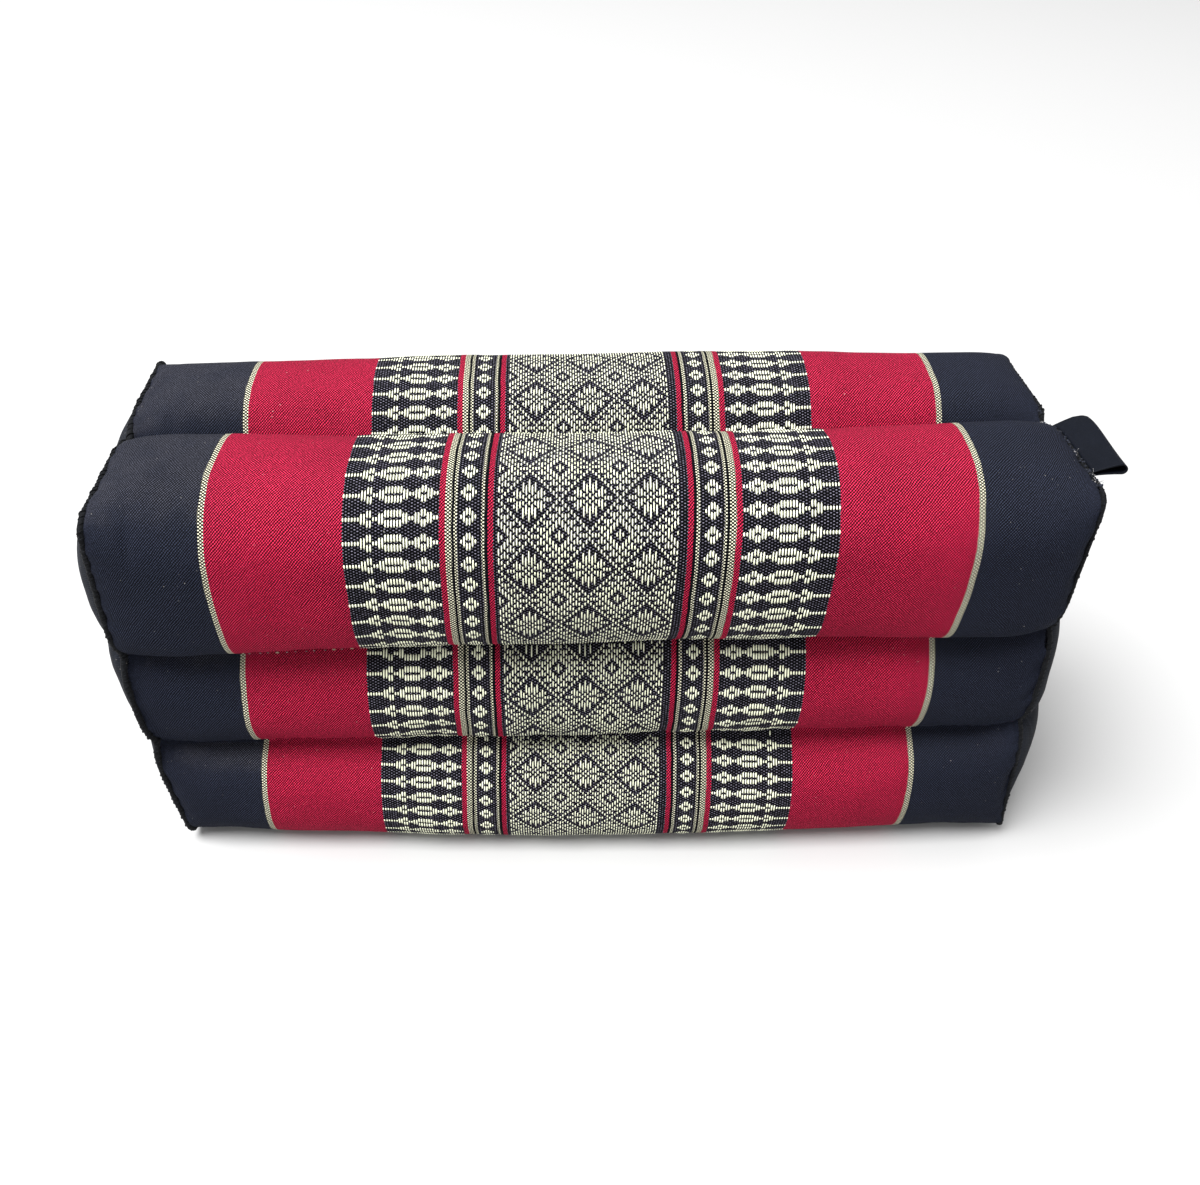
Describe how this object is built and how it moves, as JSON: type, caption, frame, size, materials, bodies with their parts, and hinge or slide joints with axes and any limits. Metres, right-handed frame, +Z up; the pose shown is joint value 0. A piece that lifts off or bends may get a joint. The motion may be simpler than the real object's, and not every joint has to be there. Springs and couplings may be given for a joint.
{
  "type": "meditation cushion",
  "caption": "Block-shaped meditation cushion of filled tubes side by side, with a striped woven cover and plain domed ends.",
  "frame": {"origin": "on the ground under the middle of the cushion", "axes": "+X along the cushion's length, +Y from the front to the back, +Z up"},
  "size_m": [0.3828, 0.1284, 0.1831],
  "materials": {
    "cover_cloth": "striped cotton brocade, matt twill ground with raised pale weft figures",
    "end_cloth": "matt navy-black cotton twill",
    "seam_roll": "black overcast thread",
    "label_satin": "black woven ribbon with a soft sheen"
  },
  "bodies": {
    "root": {"filled_body": "cover_cloth", "end_panel_left": "end_cloth", "end_panel_right": "end_cloth", "end_seam_left": "seam_roll", "end_seam_right": "seam_roll", "label_tab": "label_satin"}
  },
  "joints": []
}
